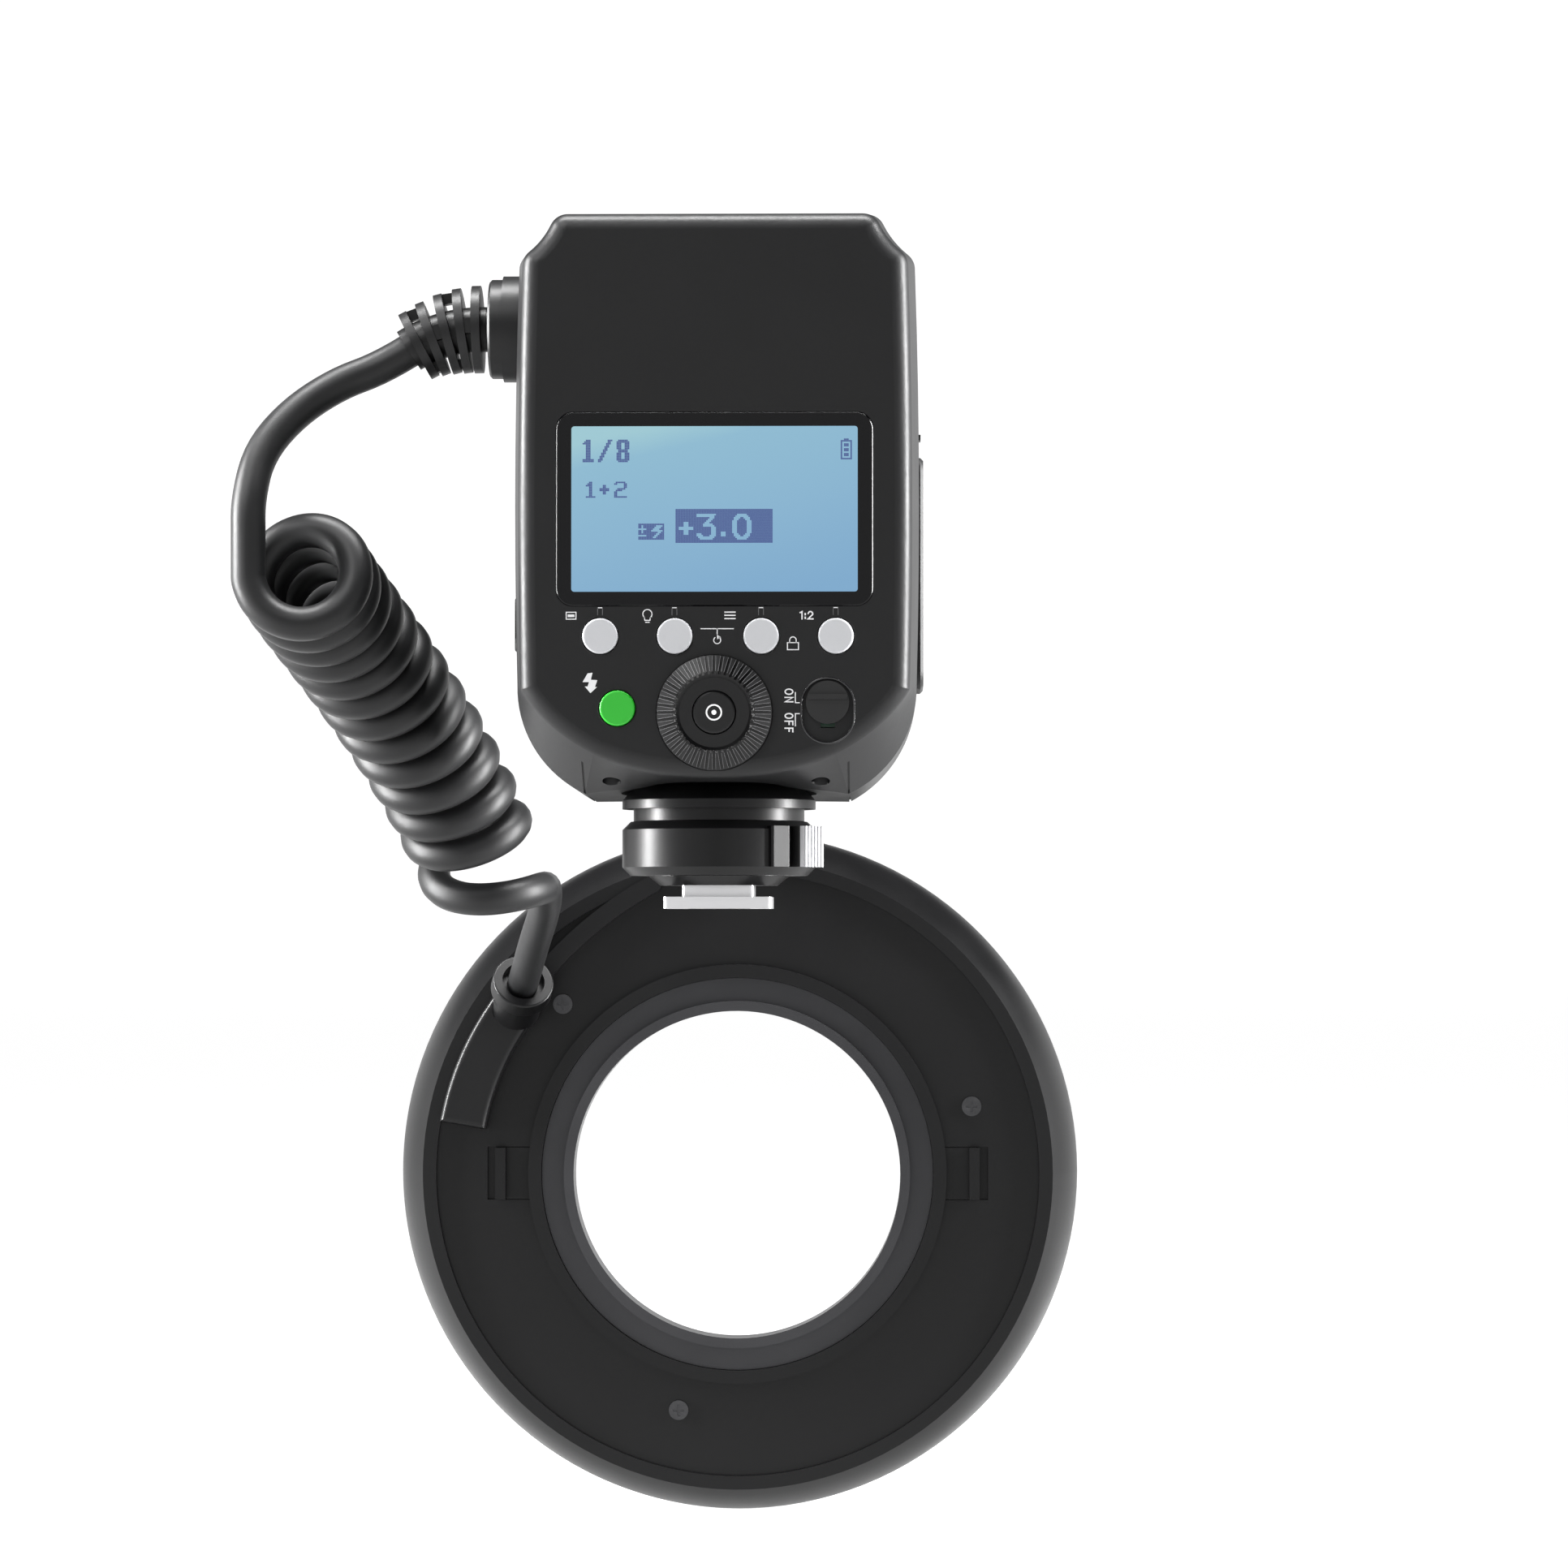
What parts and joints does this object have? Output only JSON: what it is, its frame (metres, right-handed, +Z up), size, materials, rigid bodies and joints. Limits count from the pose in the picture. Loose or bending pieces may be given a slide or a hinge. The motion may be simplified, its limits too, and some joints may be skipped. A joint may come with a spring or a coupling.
{
  "type": "macro ring flash",
  "caption": "Macro ring flash: control unit on a locking shoe foot, curly cord and ring head with a clip-on lens adapter.",
  "frame": {"origin": "centre of the underside of the shoe foot", "axes": "+Z up out of the shoe, +Y forward along the lens axis to the lit side of the ring, +X to the right as seen from the screen side"},
  "size_m": [0.1499, 0.1684, 0.2364],
  "materials": {
    "shell": "fine grained matte",
    "bezel": "gloss",
    "display": "lit blue",
    "key_grey": "satin",
    "key_green": "satin",
    "dial_black": "satin",
    "rubber": "matte",
    "board": "solder mask",
    "capacitor": "sleeved can",
    "contacts": "plated",
    "metal": "brushed",
    "screw": "blackened",
    "carrier": "matte",
    "diffuser": "ribbed translucent",
    "reflector": "bright",
    "tube": "clear",
    "lamp": "clear",
    "adapter": "black anodised",
    "assist": "dark red"
  },
  "bodies": {
    "control_unit": {"housing_rear": "shell", "housing_front": "shell", "lcd_window": "bezel", "lcd_panel": "display", "control_board": "board", "power_board": "board", "main_capacitor": "capacitor", "battery_contacts": "contacts", "data_socket": "metal", "sync_socket": "metal", "assist_window": "assist", "case_screw_right": "screw", "case_screw_left": "screw", "foot_base": "shell", "shoe_plate": "metal", "contact_carrier": "carrier", "contact_1": "contacts", "contact_2": "contacts", "contact_3": "contacts", "contact_4": "contacts", "contact_5": "contacts", "cable_gland": "shell", "strain_relief": "rubber", "cord_coil": "rubber", "cord_upper": "rubber", "cord_lower": "rubber", "cable_boot": "shell", "cable_clamp": "shell", "ring_rear_shell": "shell", "ring_screw_1": "screw", "ring_screw_2": "screw", "ring_screw_3": "screw", "ring_board": "board", "diffuser": "diffuser", "reflector_right": "reflector", "reflector_left": "reflector", "flash_tube_right": "tube", "flash_tube_left": "tube", "outer_bezel": "shell", "inner_bezel": "shell", "modelling_lamp_1": "lamp", "modelling_lamp_2": "lamp"},
    "key_1": {"key_1": "key_grey"},
    "key_2": {"key_2": "key_grey"},
    "key_3": {"key_3": "key_grey"},
    "key_4": {"key_4": "key_grey"},
    "test_key": {"test_key": "key_green"},
    "dial": {"dial": "dial_black"},
    "set_key": {"set_key": "dial_black"},
    "power_switch": {"power_switch": "shell"},
    "lock_ring": {"lock_ring": "shell", "lever_grip": "key_grey"},
    "lock_pin": {"lock_pin": "metal"},
    "battery": {"battery": "shell"},
    "battery_catch": {"battery_catch": "shell"},
    "port_cover": {"port_cover": "rubber"},
    "adapter_ring": {"adapter_ring": "adapter"},
    "release_latch_left": {"release_latch_left": "shell"},
    "release_latch_right": {"release_latch_right": "shell"}
  },
  "joints": [
    {"name": "key_1_press", "type": "slide", "parent": "control_unit", "child": "key_1", "axis": [0, 1, 0], "range_m": [0, 0.0006], "stiffness_N_per_m": 400},
    {"name": "key_2_press", "type": "slide", "parent": "control_unit", "child": "key_2", "axis": [0, 1, 0], "range_m": [0, 0.0006], "stiffness_N_per_m": 400},
    {"name": "key_3_press", "type": "slide", "parent": "control_unit", "child": "key_3", "axis": [0, 1, 0], "range_m": [0, 0.0006], "stiffness_N_per_m": 400},
    {"name": "key_4_press", "type": "slide", "parent": "control_unit", "child": "key_4", "axis": [0, 1, 0], "range_m": [0, 0.0006], "stiffness_N_per_m": 400},
    {"name": "test_key_press", "type": "slide", "parent": "control_unit", "child": "test_key", "axis": [0, 1, 0], "range_m": [0, 0.0006], "stiffness_N_per_m": 400},
    {"name": "set_key_press", "type": "slide", "parent": "control_unit", "child": "set_key", "axis": [0, 1, 0], "range_m": [0, 0.0006], "stiffness_N_per_m": 400},
    {"name": "dial_turn", "type": "hinge", "parent": "control_unit", "child": "dial", "pos_m": [0, -0.025, 0.0329], "axis": [0, 1, 0], "continuous": true},
    {"name": "power_slide", "type": "slide", "parent": "control_unit", "child": "power_switch", "axis": [0, 0, -1], "range_m": [0, 0.0028]},
    {"name": "lock_turn", "type": "hinge", "parent": "control_unit", "child": "lock_ring", "pos_m": [0, 0, 0.01], "axis": [0, 0, 1], "range_deg": [-60, 0]},
    {"name": "pin_drop", "type": "slide", "parent": "control_unit", "child": "lock_pin", "axis": [0, 0, 1], "range_m": [-0.0012, 0]},
    {"name": "battery_out", "type": "slide", "parent": "control_unit", "child": "battery", "axis": [1, 0, 0], "range_m": [0, 0.056]},
    {"name": "catch_lift", "type": "slide", "parent": "control_unit", "child": "battery_catch", "axis": [0, 0, 1], "range_m": [0, 0.002], "stiffness_N_per_m": 300},
    {"name": "port_open", "type": "hinge", "parent": "control_unit", "child": "port_cover", "pos_m": [-0.0351, 0.00985, 0.049], "axis": [0, 0, 1], "range_deg": [-110, 0]},
    {"name": "adapter_turn", "type": "hinge", "parent": "control_unit", "child": "adapter_ring", "pos_m": [0, 0.112, -0.0509], "axis": [0, 1, 0], "continuous": true},
    {"name": "latch_left_out", "type": "slide", "parent": "control_unit", "child": "release_latch_left", "axis": [-1, 0, 0], "range_m": [0, 0.0015], "stiffness_N_per_m": 500},
    {"name": "latch_right_out", "type": "slide", "parent": "control_unit", "child": "release_latch_right", "axis": [1, 0, 0], "range_m": [0, 0.0015], "stiffness_N_per_m": 500}
  ],
  "couplings": [
    {"joint": "pin_drop", "follows": "lock_turn", "m_per_rad": 0.001145}
  ]
}
